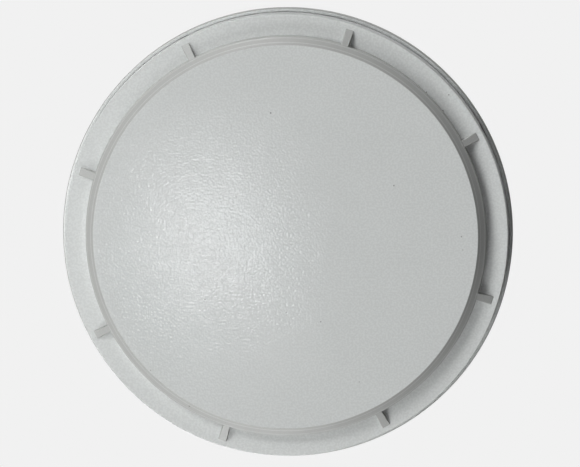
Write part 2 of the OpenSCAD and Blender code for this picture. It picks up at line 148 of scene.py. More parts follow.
class Term:
    """A number inside a node tree; arithmetic on it becomes Math nodes."""

    def __init__(self, tree, socket):
        self.tree = tree
        self.socket = socket

    def do(self, operation, *others):
        """This number and others put through one operation of a Math node."""
        node = self.tree.nodes.new("ShaderNodeMath")
        node.operation = operation
        for socket, value in zip(node.inputs, (self,) + others):
            feed(self.tree, socket, value)
        return Term(self.tree, node.outputs[0])

    def __add__(self, other):
        return self.do("ADD", other)

    def __radd__(self, other):
        return self.do("ADD", other)

    def __sub__(self, other):
        return self.do("SUBTRACT", other)

    def __rsub__(self, other):
        return (self * -1.0) + other

    def __mul__(self, other):
        return self.do("MULTIPLY", other)

    def __truediv__(self, other):
        return self.do("DIVIDE", other)

    def ramp(self, low, high):
        """Smooth step from 0 to 1 while the number goes from low to high."""
        node = add_node(
            self.tree, "ShaderNodeMapRange", {"interpolation_type": "SMOOTHSTEP"},
            Value=self, From_Min=low, From_Max=high)
        return Term(self.tree, node.outputs["Result"])


def feed(tree, socket, value):
    """Links a socket to a term or another socket, or writes a plain value to it."""
    if isinstance(value, Term):
        value = value.socket
    if isinstance(value, bpy.types.NodeSocket):
        tree.links.new(value, socket)
    else:
        socket.default_value = value


def add_node(tree, kind, settings=None, **inputs):
    """A new node with its settings and its inputs, named with _ for a space."""
    node = tree.nodes.new(kind)
    for label, value in (settings or {}).items():
        setattr(node, label, value)
    for label, value in inputs.items():
        feed(tree, node.inputs[label.replace("_", " ")], value)
    return node


def mixed(tree, share, first, second):
    """Colour between two colours by a share from 0 to 1."""
    node = tree.nodes.new("ShaderNodeMix")
    node.data_type = "RGBA"
    for place, value in ((0, share), (6, first), (7, second)):
        feed(tree, node.inputs[place], value)
    return node.outputs[2]


def new_group(name, kind, inputs, outputs):
    """A node group with named sockets; returns the tree and the nodes at its two ends."""
    tree = bpy.data.node_groups.new(name, kind)
    for label, socket_type, start in inputs:
        socket = tree.interface.new_socket(label, in_out="INPUT", socket_type="NodeSocket" + socket_type)
        if start is not None:
            socket.default_value = start
    for label, socket_type in outputs:
        tree.interface.new_socket(label, in_out="OUTPUT", socket_type="NodeSocket" + socket_type)
    return tree, tree.nodes.new("NodeGroupInput"), tree.nodes.new("NodeGroupOutput")


# Meshes

def ring_angles(count, first, near, fine, coarse):
    """Angles in degrees once round the axis, close together within `near` of each of `count` features."""
    half = 180.0 / count
    side = np.concatenate([np.linspace(0, near, fine + 1), np.linspace(near, half, coarse + 1)[1:]])
    span = np.concatenate([-side[:0:-1], side[:-1]])
    return np.concatenate([first + k * 2 * half + span for k in range(count)])


def rounded(corners):
    """Points of a closed profile whose (radius, height, fillet) corners are rounded."""
    points = []
    for i, (r, z, fillet) in enumerate(corners):
        here = np.array([r, z])
        ways = []
        for other in (corners[i - 1], corners[(i + 1) % len(corners)]):
            way = np.array(other[:2]) - here
            ways.append(way / np.linalg.norm(way))
        half = math.acos(np.clip(ways[0] @ ways[1], -1, 1)) / 2
        middle = (ways[0] + ways[1]) / np.linalg.norm(ways[0] + ways[1])
        centre = here + middle * fillet / math.sin(half)
        start = here + ways[0] * fillet / math.tan(half) - centre
        end = here + ways[1] * fillet / math.tan(half) - centre
        for share in np.linspace(0, 1, FILLET_STEPS + 1):
            arc = start * (1 - share) + end * share
            points.append(centre + arc / np.linalg.norm(arc) * fillet)
    return [(p[0], p[1]) for p in points]


def ring_faces(rings, count, poles, closed):
    """Quads between neighbouring rings and triangles at the poles, as lists of corner numbers."""
    faces = []
    starts = []
    total = 0
    for i in range(rings):
        starts.append(total)
        total += 1 if i in poles else count
    turn = np.roll(np.arange(count), -1)
    pairs = [(i, i + 1) for i in range(rings - 1)]
    if closed:
        pairs.append((rings - 1, 0))
    for a, b in pairs:
        for j in range(count):
            k = turn[j]
            if a in poles:
                faces.append((starts[a], starts[b] + k, starts[b] + j))
            elif b in poles:
                faces.append((starts[a] + j, starts[a] + k, starts[b]))
            else:
                faces.append((starts[a] + j, starts[a] + k, starts[b] + k, starts[b] + j))
    return faces


def mesh_from(name, corners, faces):
    """Mesh whose faces point outwards, from corners in millimetres."""
    volume = 0.0
    for face in faces:
        a, b, c = (corners[i] for i in face[:3])
        volume += a @ np.cross(b, c)
        if len(face) == 4:
            volume += a @ np.cross(c, corners[face[3]])
    if volume < 0:
        faces = [face[::-1] for face in faces]
    mesh = bpy.data.meshes.new(name)
    mesh.from_pydata((corners * MM).tolist(), [], [[int(i) for i in face] for face in faces])
    mesh.update()
    return mesh


def ring_corners(rings, angles):
    """Corner points of (radius, height) rings; each may be one number or one for each angle."""
    turn = np.radians(angles)
    corners = []
    for r, z in rings:
        if np.isscalar(r) and r == 0:
            corners.append([[0.0, 0.0, float(z)]])
        else:
            r = np.broadcast_to(r, turn.shape)
            z = np.broadcast_to(z, turn.shape)
            corners.append(np.stack([r * np.cos(turn), r * np.sin(turn), z], axis=1))
    return np.concatenate(corners)


def ring_mesh(name, rings, angles):
    """Closed mesh of rings of (radius, height) round the axis; a ring of radius zero is a pole."""
    poles = {i for i, ring in enumerate(rings) if np.isscalar(ring[0]) and ring[0] == 0}
    faces = ring_faces(len(rings), len(angles), poles, not poles)
    return mesh_from(name, ring_corners(rings, angles), faces)


def put(name, mesh, body, finish, replaced, sharp=40):
    """Makes a mesh a piece of the object that stands for CAD nodes and moves with their body."""
    piece = bpy.data.objects.new(name, mesh)
    bpy.context.scene.collection.objects.link(piece)
    mesh.name = name
    mesh.materials.clear()
    mesh.materials.append(finish)
    mesh.polygons.foreach_set("use_smooth", [True] * len(mesh.polygons))
    mesh.set_sharp_from_angle(angle=math.radians(sharp))
    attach(piece, body)
    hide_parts(*replaced)


def grown(base, tree, sizes):
    """The plain mesh that a geometry tree makes of a base mesh with these sizes."""
    holder = bpy.data.objects.new(base.name + "_base", base)
    bpy.context.scene.collection.objects.link(holder)
    grow = holder.modifiers.new("Grow", "NODES")
    grow.node_group = tree
    for item in tree.interface.items_tree:
        if item.item_type == "SOCKET" and item.in_out == "INPUT" and item.name in sizes:
            grow[item.identifier] = sizes[item.name]
    shown = holder.evaluated_get(bpy.context.evaluated_depsgraph_get())
    result = bpy.data.meshes.new_from_object(shown)
    holder.modifiers.remove(grow)
    bpy.data.objects.remove(holder)
    return result


def shape_tree(name, sizes):
    """Geometry tree with a mesh and named sizes as inputs; returns it, its end nodes and the size terms."""
    inputs = [("Geometry", "Geometry", None)]
    inputs += [(label, "Float", float(start)) for label, start in sizes.items()]
    inputs.append(("Material", "Material", None))
    tree, source, sink = new_group(name, "GeometryNodeTree", inputs, [("Geometry", "Geometry")])
    terms = {label: Term(tree, source.outputs[label]) for label in sizes}
    return tree, source, sink, terms


def close_shape(tree, source, sink, geometry):
    """Ends a geometry tree with real geometry and its material."""
    real = add_node(tree, "GeometryNodeRealizeInstances", Geometry=geometry)
    coat = add_node(tree, "GeometryNodeSetMaterial", Geometry=real.outputs[0], Material=source.outputs["Material"])
    tree.links.new(coat.outputs[0], sink.inputs["Geometry"])


def polar(tree):
    """Radius, angle and height of each point, in millimetres and radians."""
    place = add_node(tree, "GeometryNodeInputPosition")
    parts = add_node(tree, "ShaderNodeSeparateXYZ", Vector=place.outputs[0])
    x, y, z = (Term(tree, parts.outputs[i]) / MM for i in range(3))
    return (x * x + y * y).do("SQRT"), y.do("ARCTAN2", x), z


def place_polar(tree, source, radius, angle, height):
    """The source's geometry with each point put at a radius, angle and height."""
    spot = add_node(
        tree, "ShaderNodeCombineXYZ",
        X=radius * angle.do("COSINE") * MM, Y=radius * angle.do("SINE") * MM, Z=height * MM)
    return add_node(
        tree, "GeometryNodeSetPosition", Geometry=source.outputs["Geometry"], Position=spot.outputs[0]).outputs[0]


def cover_tree():
    """Raises the disc, its sloped band and the gusset ribs out of the flat front of the cover."""
    tree, source, sink, size = shape_tree("cover_relief", {
        "Disc radius": DISC_R, "Disc height": DISC_PROUD, "Band width": BAND_W, "Band drop": BAND_DROP,
        "Rib count": RIB_COUNT, "First rib": RIB_ANGLE, "Rib width": RIB_W, "Rib length": RIB_LEN,
        "Rib end height": RIB_END_H, "Wall slope": WALL_SLOPE, "Rib slope": RIB_SIDE_SLOPE,
    })
    radius, angle, height = polar(tree)
    band_r = size["Disc radius"] + size["Band width"]
    shoulder = size["Disc height"] - size["Band drop"]
    cone = size["Disc height"] - (radius - size["Disc radius"]) * size["Band drop"] / size["Band width"]
    wall = shoulder - (radius - band_r) * size["Wall slope"]
    plate = cone.do("SMOOTH_MIN", size["Disc height"], DISC_EDGE_SOFT)
    plate = plate.do("SMOOTH_MIN", wall, BAND_EDGE_SOFT).do("SMOOTH_MAX", 0.0, WALL_FOOT_SOFT)

    pitch = size["Rib count"].do("POWER", -1.0) * FULL_TURN
    off = (angle - size["First rib"] * math.radians(1)).do("PINGPONG", pitch * 0.5)
    along = radius * off.do("COSINE") - band_r
    aside = radius * off.do("SINE")
    top = shoulder - along * (shoulder - size["Rib end height"]) / size["Rib length"]
    side = RIB_SIDE_H + (size["Rib width"] * 0.5 - aside) * size["Rib slope"]
    start = shoulder + RIB_START_H + along * RIB_START_SLOPE
    end = size["Rib end height"] + (size["Rib length"] - along) * RIB_END_SLOPE
    rib = top.do("SMOOTH_MIN", side, RIB_SIDE_SOFT)
    rib = rib.do("SMOOTH_MIN", end, RIB_END_SOFT).do("SMOOTH_MIN", start, RIB_START_SOFT)
    relief = plate.do("SMOOTH_MAX", rib, RIB_FOOT_SOFT)

    front = add_node(tree, "GeometryNodeInputNamedAttribute", {"data_type": "FLOAT"}, Name="front")
    raised = height - relief * Term(tree, front.outputs["Attribute"])
    close_shape(tree, source, sink, place_polar(tree, source, radius, angle, raised))
    return tree


def front_radii(band_r, edge_r):
    """Radii of the rings on the front of the cover, close together where its shape turns."""
    rib_r = band_r + RIB_LEN
    radii = [4, 10, 16, 22, 28, 32, 34, 34.8]
    spacing = [
        (DISC_R - 0.45, DISC_R + 0.45, 0.06), (DISC_R + 0.45, band_r - 0.16, 0.12),
        (band_r - 0.16, band_r + 0.34, 0.03), (band_r + 0.34, rib_r - 0.25, 0.15),
        (rib_r - 0.25, rib_r + 0.25, 0.05),
    ]
    for start, end, step in spacing:
        radii += list(np.arange(start, end, step))
    return radii + [rib_r + 0.4, edge_r]


def rim_rings(angles):
    """Rings up the outside of the cover's rim, over its notched end and down its inside."""
    pitch = 360.0 / NOTCH_COUNT
    aside = np.abs((angles - RIB_ANGLE + pitch / 2) % pitch - pitch / 2)
    top = COVER_RIM_TOP - NOTCH_H * (np.radians(aside) * COVER_R < NOTCH_W / 2)
    below = COVER_RIM_TOP - NOTCH_H - NOTCH_FOOT
    wall_foot = FLANGE_FRONT + COVER_EDGE
    inner_r = COVER_R - COVER_T

    def flare(z):
        return RIM_DRAFT * (z - wall_foot) / (COVER_RIM_TOP - wall_foot)

    soft, near = RIM_SOFT, RIM_SOFT * 0.3
    end = flare(top)
    return [
        (COVER_R + flare(below), below), (COVER_R + flare(top - soft), top - soft),
        (COVER_R + end - near, top - near), (COVER_R + end - soft, top),
        (inner_r + end + soft, top), (inner_r + end + near, top - near),
        (inner_r + flare(top - soft), top - soft), (inner_r + flare(below), below),
    ]


def cover_rings(angles):
    """Rings of the cover from the middle of its front, over the rim, to the middle of its back."""
    band_r = DISC_R + BAND_W
    edge_r = COVER_R - COVER_EDGE
    rings = [(0, FLANGE_FRONT)] + [(r, FLANGE_FRONT) for r in front_radii(band_r, edge_r)]
    front_rings = len(rings)
    for turn in np.radians([15, 30, 45, 60, 75, 90]):
        rings.append((edge_r + COVER_EDGE * math.sin(turn), FLANGE_FRONT + COVER_EDGE * (1 - math.cos(turn))))
    rings += rim_rings(angles)
    back = FLANGE_FRONT + COVER_T
    disc_back = back - DISC_PROUD
    inner_r = COVER_R - COVER_T
    wall_r = band_r - COVER_T
    rings += [
        (inner_r, back + FLANGE_BACK_FILLET), (inner_r - FLANGE_BACK_FILLET, back),
        (wall_r + BAND_BACK_FILLET, back), (wall_r, back - BAND_BACK_FILLET), (wall_r, disc_back + BAND_DROP),
        (DISC_R - 0.3, disc_back), (DISC_R - 0.6, disc_back), (20, disc_back), (0, disc_back),
    ]
    return rings, front_rings


def make_cover(finish):
    """Cover plate with its disc, band, ribs and notched rim."""
    angles = ring_angles(RIB_COUNT, RIB_ANGLE, near=2.6, fine=34, coarse=13)
    rings, front_rings = cover_rings(angles)
    base = ring_mesh("cover_plate_shell", rings, angles)
    front = np.zeros(len(base.vertices), np.float32)
    front[:1 + (front_rings - 1) * len(angles)] = 1.0
    base.attributes.new("front", "FLOAT", "POINT").data.foreach_set("value", front)
    mesh = grown(base, cover_tree(), {"Material": finish})
    store_masks(mesh, reach=DISC_R + BAND_W + RIB_LEN + 0.3)
    put("cover_plate_shell", mesh, "cover", finish, ["cover_plate"])


def store_masks(mesh, reach):
    """Writes to each point how far it stands off level, less beyond a radius, and if it is outside the disc; the
    paint darkens by the first as painted shade and lightens by the second as painted light.
    """
    normals = np.empty(len(mesh.vertices) * 3, np.float32)
    mesh.vertex_normals.foreach_get("vector", normals)
    spots = np.empty(len(mesh.vertices) * 3, np.float32)
    mesh.vertices.foreach_get("co", spots)
    level = np.abs(normals.reshape(-1, 3)[:, 2])
    radius = np.hypot(*spots.reshape(-1, 3)[:, :2].T) / MM
    slope = np.clip((FLAT_LEVEL - level) / SLOPE_SPAN, 0, 1) * np.where(radius < reach, 1.0, RIM_SLOPE_SHARE)
    flange = radius > DISC_R + BAND_W
    for name, values in (("slope", slope), ("flange", flange)):
        mesh.attributes.new(name, "FLOAT", "POINT").data.foreach_set("value", values.astype(np.float32))


def make_trim_ring(finish):
    """Trim ring with a rolled rim and a stepped web."""
    web_bottom = TRIM_WEB_TOP - TRIM_T
    under = TRIM_CEILING - TRIM_T
    rim_r = TRIM_R - TRIM_RIM_T
    step_r = TRIM_STEP_R - TRIM_T
    profile = rounded([
        (TRIM_WEB_R, web_bottom, 0.15), (TRIM_STEP_R, web_bottom, 0.5), (TRIM_STEP_R, under, 0.3),
        (rim_r, under, 0.3), (rim_r, TRIM_RIM_BOTTOM, 0.08), (TRIM_R, TRIM_RIM_BOTTOM, 0.24),
        (TRIM_R, TRIM_CEILING, 0.35), (step_r, TRIM_CEILING, 0.4),
        (step_r, TRIM_WEB_TOP, 0.3), (TRIM_WEB_R, TRIM_WEB_TOP, 0.15),
    ])
    mesh = ring_mesh("trim_ring_shell", profile, np.arange(0, 360, 1.25))
    store_masks(mesh, reach=TRIM_R + 1)
    put("trim_ring_shell", mesh, "retainer", finish, ["trim_ring"])


def thread_tree():
    """Cuts a right-hand pipe thread into the turned wall of the inlet."""
    tree, source, sink, size = shape_tree("inlet_thread", {
        "Outer radius": THREAD_R, "Pitch": THREAD_PITCH, "Depth": THREAD_DEPTH, "Runout": THREAD_RUNOUT,
    })
    radius, angle, height = polar(tree)
    turn = height / size["Pitch"] - angle / FULL_TURN
    groove = (turn.do("PINGPONG", 0.5) * 2.0).ramp(*THREAD_FLANK)
    fade = height.ramp(THREAD_FADE[0], size["Runout"] + THREAD_FADE[1])
    cut = size["Outer radius"] - size["Depth"] * groove * fade
    marked = add_node(tree, "GeometryNodeInputNamedAttribute", {"data_type": "FLOAT"}, Name="threaded")
    share = Term(tree, marked.outputs["Attribute"])
    threaded = radius.do("MINIMUM", cut) * share + radius * (1.0 - share)
    close_shape(tree, source, sink, place_polar(tree, source, threaded, angle, height))
    return tree


def hexagon_rings(angles):
    """Rings of the wrench hexagon, chamfered at both ends."""
    corner_r = HEX_AF / math.sqrt(3)
    hexagon = HEX_AF / 2 / np.cos(np.radians(angles % 60 - 30))

    def chamfered(off):
        return np.minimum(hexagon, corner_r - HEX_CHAMFER + off * HEX_CHAMFER_SLOPE)

    upper = [(chamfered(off), -off) for off in HEX_CHAMFER_STEPS]
    return upper + [(chamfered(off), -HEX_H + off) for off in HEX_CHAMFER_STEPS[::-1]]


def make_inlet(finish):
    """Inlet body: pipe thread, hexagon, spigot and waterway."""
    angles = np.arange(0, 360, 1.875)
    mouth_r = WATERWAY_R + WATERWAY_FLARE
    rings = [(WATERWAY_R, SEAT_Z + SEAT_EDGE), (WATERWAY_R, THREAD_TOP - WATERWAY_FLARE)]
    rings += [(mouth_r, THREAD_TOP - 0.05), (mouth_r + 0.1, THREAD_TOP)]
    first = len(rings)
    rings += [(THREAD_R - THREAD_LEAD, THREAD_TOP)]
    for k in range(1, THREAD_LEAD_STEPS):
        lead = THREAD_LEAD * k / THREAD_LEAD_STEPS
        rings.append((THREAD_R - lead, THREAD_TOP - lead))
    rings += [(THREAD_R, z) for z in np.arange(THREAD_TOP - THREAD_LEAD, 0.15, -THREAD_PITCH / 14)]
    last = len(rings)
    rings += [(THREAD_R, 0.0)]
    rings += hexagon_rings(angles)
    rings += [(SPIGOT_R, -HEX_H), (SPIGOT_R, SEAT_Z + SPIGOT_EDGE)]
    rings += [(SPIGOT_R - SPIGOT_EDGE, SEAT_Z), (WATERWAY_R + SEAT_EDGE, SEAT_Z)]
    base = ring_mesh("inlet_body_turned", rings, angles)
    threaded = np.zeros(len(base.vertices), np.float32)
    threaded[first * len(angles):last * len(angles)] = 1.0
    base.attributes.new("threaded", "FLOAT", "POINT").data.foreach_set("value", threaded)
    mesh = grown(base, thread_tree(), {"Material": finish})
    put("inlet_body_turned", mesh, "sprinkler", finish, ["inlet_body"], sharp=28)


def roll_tree():
    """Rolls a thread into the wall of the support cup."""
    tree, source, sink, size = shape_tree("rolled_thread", {
        "Foot": CUP_BOTTOM, "Pitch": ROLL_PITCH, "Depth": ROLL_DEPTH, "Turns": ROLL_TURNS,
    })
    radius, angle, height = polar(tree)
    rise = height - size["Foot"]
    turn = rise / size["Pitch"] - angle / FULL_TURN
    ridge = (turn.do("PINGPONG", 0.5) * 2.0).ramp(*ROLL_FLANK)
    reach = size["Turns"] * size["Pitch"]
    fade = rise.ramp(*ROLL_START) * (1.0 - rise.ramp(reach + ROLL_END[0], reach + ROLL_END[1]))
    rolled = radius - size["Depth"] * ridge * fade
    close_shape(tree, source, sink, place_polar(tree, source, rolled, angle, height))
    return tree


def make_cup(finish):
    """Support cup: drawn sheet with a rolled thread and vent windows."""
    half = math.degrees(VENT_W / 2 / CUP_R)
    fine, coarse = 10, 12
    angles = ring_angles(VENT_COUNT, 0, half, fine, coarse)
    thread_end = CUP_BOTTOM + ROLL_TURNS * ROLL_PITCH + 1.5
    heights = list(np.arange(CUP_BOTTOM + 0.3, thread_end, ROLL_PITCH / 12))
    heights += CUP_WALL_RINGS
    heights += [VENT_BOTTOM, (VENT_BOTTOM + VENT_TOP) / 2, VENT_TOP, CUP_ABOVE_VENTS]
    bend = np.radians(np.linspace(0, 90, 8))
    bend_r, bend_z = CUP_R - CUP_BEND, CUP_TOP - CUP_BEND
    skins = []
    for inset in (0, CUP_T):
        r = CUP_BEND - inset
        skins.append([(CUP_R - inset, z) for z in heights]
                     + [(bend_r + r * math.cos(a), bend_z + r * math.sin(a)) for a in bend]
                     + [(CUP_ROOF_RING, CUP_TOP - inset), (CUP_BORE_R, CUP_TOP - inset)])
    lip = [(CUP_R - CUP_T + CUP_LIP_EDGE, CUP_BOTTOM), (CUP_R - CUP_LIP_EDGE, CUP_BOTTOM)]
    rings = skins[0] + skins[1][::-1] + lip
    faces = ring_faces(len(rings), len(angles), set(), True)
    vent_rings = range(heights.index(VENT_BOTTOM), heights.index(VENT_TOP))
    span = 2 * (fine + coarse)
    windows = [(k * span + coarse, k * span + coarse + 2 * fine) for k in range(VENT_COUNT)]
    faces = vented(faces, len(skins[0]), len(angles), vent_rings, windows)
    base = mesh_from("support_cup_drawn", ring_corners(rings, angles), faces)
    mesh = grown(base, roll_tree(), {"Material": finish})
    put("support_cup_drawn", mesh, "sprinkler", finish, ["support_cup"])


def vented(faces, skin, count, vent_rings, windows):
    """Takes the vent windows out of both skins of the cup and closes their edges."""
    def inner(ring):
        return 2 * skin - 1 - ring

    def spot(ring, j):
        return ring * count + j % count

    def edge(ring, next_ring, j, next_j):
        """Face through the sheet between a pair of points on the outer skin and the pair behind them."""
        return spot(ring, j), spot(next_ring, next_j), spot(inner(next_ring), next_j), spot(inner(ring), j)

    low, high = vent_rings[0], vent_rings[-1] + 1
    gone = set()
    for left, right in windows:
        for ring in vent_rings:
            for j in range(left, right):
                gone.add(ring * count + j)
                gone.add((inner(ring) - 1) * count + j)
    kept = [face for i, face in enumerate(faces) if i not in gone]
    for left, right in windows:
        for ring in vent_rings:
            kept.append(edge(ring, ring + 1, left, left))
            kept.append(edge(ring + 1, ring, right, right))
        for j in range(left, right):
            kept.append(edge(low, low, j + 1, j))
            kept.append(edge(high, high, j, j + 1))
    return kept


# Finishes

def effect(name, inputs, outputs):
    """Shader group with a Position input; returns the tree, its end nodes and the input terms."""
    sockets = [("Position", "Vector", None)] + [(label, "Float", start) for label, start in inputs]
    tree, source, sink = new_group(name, "ShaderNodeTree", sockets, [(label, "Float") for label in outputs])
    terms = {label: Term(tree, source.outputs[label]) for label, start in inputs}
    return tree, source, sink, terms


def peel_effect():
    """Orange peel of a sprayed coat: a Height that swells and dips about once in each Size."""
    tree, source, sink, size = effect("orange_peel", [("Size", 0.6), ("Grain", 0.3)], ["Height"])
    scale = (size["Size"] * MM).do("POWER", -1.0)
    swell = add_node(tree, "ShaderNodeTexNoise", Vector=source.outputs["Position"], Scale=scale, Detail=0.0)
    grain = add_node(tree, "ShaderNodeTexNoise", Vector=source.outputs["Position"], Scale=scale * 2.6, Detail=2.0)
    height = Term(tree, swell.outputs[0]) + Term(tree, grain.outputs[0]) * size["Grain"]
    feed(tree, sink.inputs["Height"], height)
    return tree


def speck_effect():
    """Scattered specks of dirt: a Mask that is 1 on a speck."""
    tree, source, sink, size = effect("specks", [("Spacing", 4.0), ("Size", 0.15), ("Share", 0.4)], ["Mask"])
    scale = (size["Spacing"] * MM).do("POWER", -1.0)
    cells = add_node(tree, "ShaderNodeTexVoronoi", Vector=source.outputs["Position"], Scale=scale)
    tint = add_node(tree, "ShaderNodeSeparateColor", Color=cells.outputs["Color"])
    chosen = Term(tree, tint.outputs[0]).do("LESS_THAN", size["Share"])
    reach = size["Size"] / size["Spacing"] * (Term(tree, tint.outputs[1]) * 0.8 + 0.3)
    near = 1.0 - Term(tree, cells.outputs["Distance"]).ramp(reach * 0.5, reach)
    feed(tree, sink.inputs["Mask"], near * chosen)
    return tree


def stain_effect():
    """Cloudy patches: a Mask from 0 to 1, about one patch in each Size."""
    tree, source, sink, size = effect("stains", [("Size", 8.0), ("Low", 0.4), ("High", 0.65)], ["Mask"])
    scale = (size["Size"] * MM).do("POWER", -1.0)
    cloud = add_node(
        tree, "ShaderNodeTexNoise", Vector=source.outputs["Position"], Scale=scale, Detail=4.0, Roughness=0.6)
    feed(tree, sink.inputs["Mask"], Term(tree, cloud.outputs[0]).ramp(size["Low"], size["High"]))
    return tree


def turning_effect():
    """Tool marks of a lathe round the axis: a Height that changes across each Pitch."""
    tree, source, sink, size = effect("turning_marks", [("Pitch", 0.15), ("Wander", 0.3)], ["Height"])
    parts = add_node(tree, "ShaderNodeSeparateXYZ", Vector=source.outputs["Position"])
    x, y, z = (Term(tree, parts.outputs[i]) for i in range(3))
    step = (size["Pitch"] * MM).do("POWER", -1.0)
    across = (x * x + y * y).do("SQRT") * step
    around = y.do("ARCTAN2", x) * size["Wander"]
    spot = add_node(tree, "ShaderNodeCombineXYZ", X=across, Y=around, Z=z * step)
    marks = add_node(tree, "ShaderNodeTexNoise", Vector=spot.outputs[0], Scale=1.0, Detail=2.0)
    feed(tree, sink.inputs["Height"], Term(tree, marks.outputs[0]))
    return tree


EFFECTS = {"peel": peel_effect(), "specks": speck_effect(), "stains": stain_effect(), "turning": turning_effect()}


class Finish:
    """A material under construction around one Principled shader."""

    def __init__(self, name, **plain):
        self.material = bpy.data.materials.new(name)
        self.material.use_nodes = True
        self.tree = self.material.node_tree
        self.shader = next(n for n in self.tree.nodes if n.type == "BSDF_PRINCIPLED")
        self.place = self.tree.nodes.new("ShaderNodeTexCoord").outputs["Object"]
        for label, value in plain.items():
            self.shader.inputs[label.replace("_", " ")].default_value = value

    def effect(self, name, output, place=None, **values):
        """One output of a shared effect, on the piece's own coordinates unless a place is given."""
        node = self.tree.nodes.new("ShaderNodeGroup")
        node.node_tree = EFFECTS[name]
        feed(self.tree, node.inputs["Position"], place or self.place)
        for label, value in values.items():
            feed(self.tree, node.inputs[label], value)
        return Term(self.tree, node.outputs[output])

    def stretched(self, turn, scale):
        """Coordinates turned about the axis and scaled, for marks that run one way."""
        turned = (0, 0, math.radians(turn))
        node = add_node(self.tree, "ShaderNodeMapping", Vector=self.place, Rotation=turned, Scale=scale)
        return node.outputs[0]

    def blend(self, share, first, second):
        """Colour between two colours by a share from 0 to 1."""
        return mixed(self.tree, share, first, second)

    def attribute(self, name):
        """A mask that is stored on the points of the mesh."""
        node = add_node(self.tree, "ShaderNodeAttribute", {"attribute_name": name})
        return Term(self.tree, node.outputs["Fac"])

    def set(self, **links):
        """Feeds inputs of the shader, named with _ for a space."""
        for label, value in links.items():
            feed(self.tree, self.shader.inputs[label.replace("_", " ")], value)

    def bump(self, height, depth, below=None):
        """Normal of a relief whose height from 0 to 1 stands for a depth in millimetres."""
        node = add_node(self.tree, "ShaderNodeBump", Height=height, Distance=depth * MM)
        if below is not None:
            feed(self.tree, node.inputs["Normal"], below)
        return node.outputs["Normal"]


def tone(red, green, blue):
    """Linear colour with alpha from 8-bit display values."""
    def straight(share):
        return share / 12.92 if share <= 0.04045 else ((share + 0.055) / 1.055) ** 2.4

    return tuple(straight(level / 255) for level in (red, green, blue)) + (1.0,)


# Paint: tones of painted shade on sloped faces and in the pits of the peel, of dust specks and scratches, and how
# strongly each mark shows
SLOPE_SHADE = tone(164, 165, 163)
SLOPE_ROUGH = 0.45
COAT_DRIFT = 2
PIT_SHADE_TONE = tone(150, 152, 151)
PIT_SHADE_SHARE = 0.15
GRIME = tone(96, 96, 94)
GRIME_SHARE = 0.75
SCRATCH_SHARE = 0.7
PATCH_ROUGH = 0.03

# Metal: how strongly wide and fine tarnish and dirt show, and how much the tarnish roughens
TARNISH_SHARE = 0.5
FINE_TARNISH_SHARE = 0.2
DIRT_SHARE = 0.5
TARNISH_ROUGH = 0.14
FINE_TARNISH_ROUGH = 0.08


def white_paint(name, coat, flange_lit, roughness, gloss, peel_depth):
    """Sprayed white coat with orange peel, dust specks and a few short scratches; sloped faces and the pits of the
    peel are painted darker as painted shade, and the flange painted lighter than the disc as painted light.
    """
    paint = Finish(name, Specular_IOR_Level=gloss)
    cloud = paint.effect("stains", "Mask", Size=14.0, Low=0.35, High=0.7)
    colour = paint.blend(cloud, tone(*coat), tone(*(level - COAT_DRIFT for level in coat)))
    # Painted light: the flange takes a lighter tone than the disc of the same coat, standing in for the stronger
    # light it gets
    colour = paint.blend(paint.attribute("flange"), colour, tone(*flange_lit))
    tilted = paint.attribute("slope")
    # Painted shade: faces that stand off level (the band, ribs and walls) take a darker tone
    colour = paint.blend(tilted, colour, SLOPE_SHADE)
    peel = paint.effect("peel", "Height", Size=0.36, Grain=0.06)
    # Painted shade: the low spots of the orange peel are darker, standing in for the shading of the relief
    pit_shade = 1.0 - peel.ramp(0.35, 0.75)
    colour = paint.blend(pit_shade * PIT_SHADE_SHARE, colour, PIT_SHADE_TONE)
    specks = paint.effect("specks", "Mask", Spacing=3.2, Size=0.22, Share=0.5)
    along = paint.stretched(25, (1.0, 0.12, 1.0))
    scratch = paint.effect("specks", "Mask", along, Spacing=4.5, Size=0.2, Share=0.3)
    marks = specks.do("MAXIMUM", scratch * SCRATCH_SHARE)
    colour = paint.blend(marks * GRIME_SHARE, colour, GRIME)
    patches = paint.effect("stains", "Mask", Size=0.9, Low=0.3, High=0.7)
    rough = patches * PATCH_ROUGH + tilted * SLOPE_ROUGH + roughness
    paint.set(Base_Color=colour, Roughness=rough, Normal=paint.bump(peel, peel_depth))
    return paint.material


def metal(name, light, dark, roughness, turned=0.0, cast=0.0, patch=5.0):
    """Metal with tarnish, dirt specks and the marks of how it was made."""
    finish = Finish(name, Metallic=1.0)
    stain = finish.effect("stains", "Mask", Size=patch, Low=0.38, High=0.72)
    fine = finish.effect("stains", "Mask", Size=patch * 0.12, Low=0.3, High=0.75)
    colour = finish.blend(stain * TARNISH_SHARE + fine * FINE_TARNISH_SHARE, light, dark)
    dirt = finish.effect("specks", "Mask", Spacing=1.6, Size=0.16, Share=0.25)
    finish.set(Base_Color=finish.blend(dirt * DIRT_SHARE, colour, dark))
    finish.set(Roughness=stain * TARNISH_ROUGH + fine * FINE_TARNISH_ROUGH + roughness)
    normal = None
    if turned:
        normal = finish.bump(finish.effect("turning", "Height", Pitch=0.16, Wander=0.4), turned)
    if cast:
        normal = finish.bump(finish.effect("peel", "Height", Size=0.45, Grain=0.8), cast, normal)
    if normal is not None:
        finish.set(Normal=normal)
    return finish.material


def clear_glass():
    """Clear bulb glass with faint flow streaks."""
    glass = Finish("bulb_glass", Transmission_Weight=1.0, IOR=1.47)
    along = glass.stretched(0, (1.0, 1.0, 0.15))
    streak = glass.effect("stains", "Mask", along, Size=1.2, Low=0.3, High=0.7)
    colour = glass.blend(streak, (1, 1, 1, 1), (0.95, 0.98, 0.97, 1))
    glass.set(Base_Color=colour, Roughness=streak * 0.03 + 0.01)
    return glass.material


